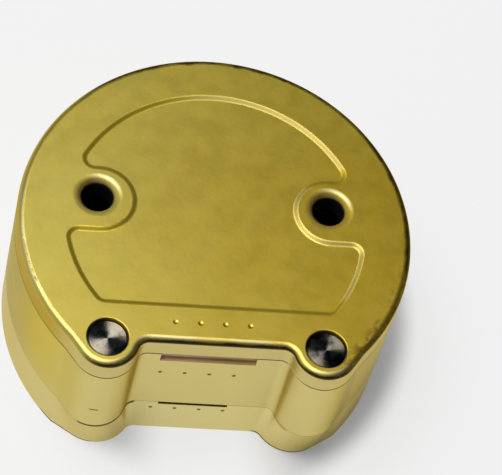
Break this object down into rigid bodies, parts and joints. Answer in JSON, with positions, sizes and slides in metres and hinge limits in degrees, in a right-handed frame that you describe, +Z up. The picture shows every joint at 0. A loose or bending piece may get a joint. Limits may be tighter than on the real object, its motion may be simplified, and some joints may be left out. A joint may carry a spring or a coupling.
{
  "type": "dental flask",
  "caption": "Round cast brass dental flask with a flat front: a lower half with guide pins, a ring that slides on them, a lid with a sunk panel, and a loose ejector plate inside.",
  "frame": {"origin": "middle of the footprint, at the level of the bench the flask stands on", "axes": "+Z up, out of the lid; the flat front wall between the guide pins faces -Y; +X to the right of someone who faces that wall"},
  "size_m": [0.1016, 0.093, 0.047],
  "materials": {
    "cast_brass": "ground and handled, with a dull tarnish",
    "plate_brass": "dull, with traces of plaster",
    "pin_steel": "turned, bright on the end face"
  },
  "bodies": {
    "base": {"lower_half": "cast_brass", "guide_pin_left": "pin_steel", "guide_pin_right": "pin_steel"},
    "ring": {"upper_ring": "cast_brass"},
    "lid": {"lid": "cast_brass"},
    "ejector": {"ejector_plate": "plate_brass"}
  },
  "joints": [
    {"name": "ring_lift", "type": "slide", "parent": "base", "child": "ring", "axis": [0, 0, 1], "range_m": [0, 0.034]},
    {"name": "lid_lift", "type": "slide", "parent": "ring", "child": "lid", "axis": [0, 0, 1], "range_m": [0, 0.03]},
    {"name": "ejector_lift", "type": "slide", "parent": "base", "child": "ejector", "axis": [0, 0, 1], "range_m": [0, 0.0099]}
  ]
}
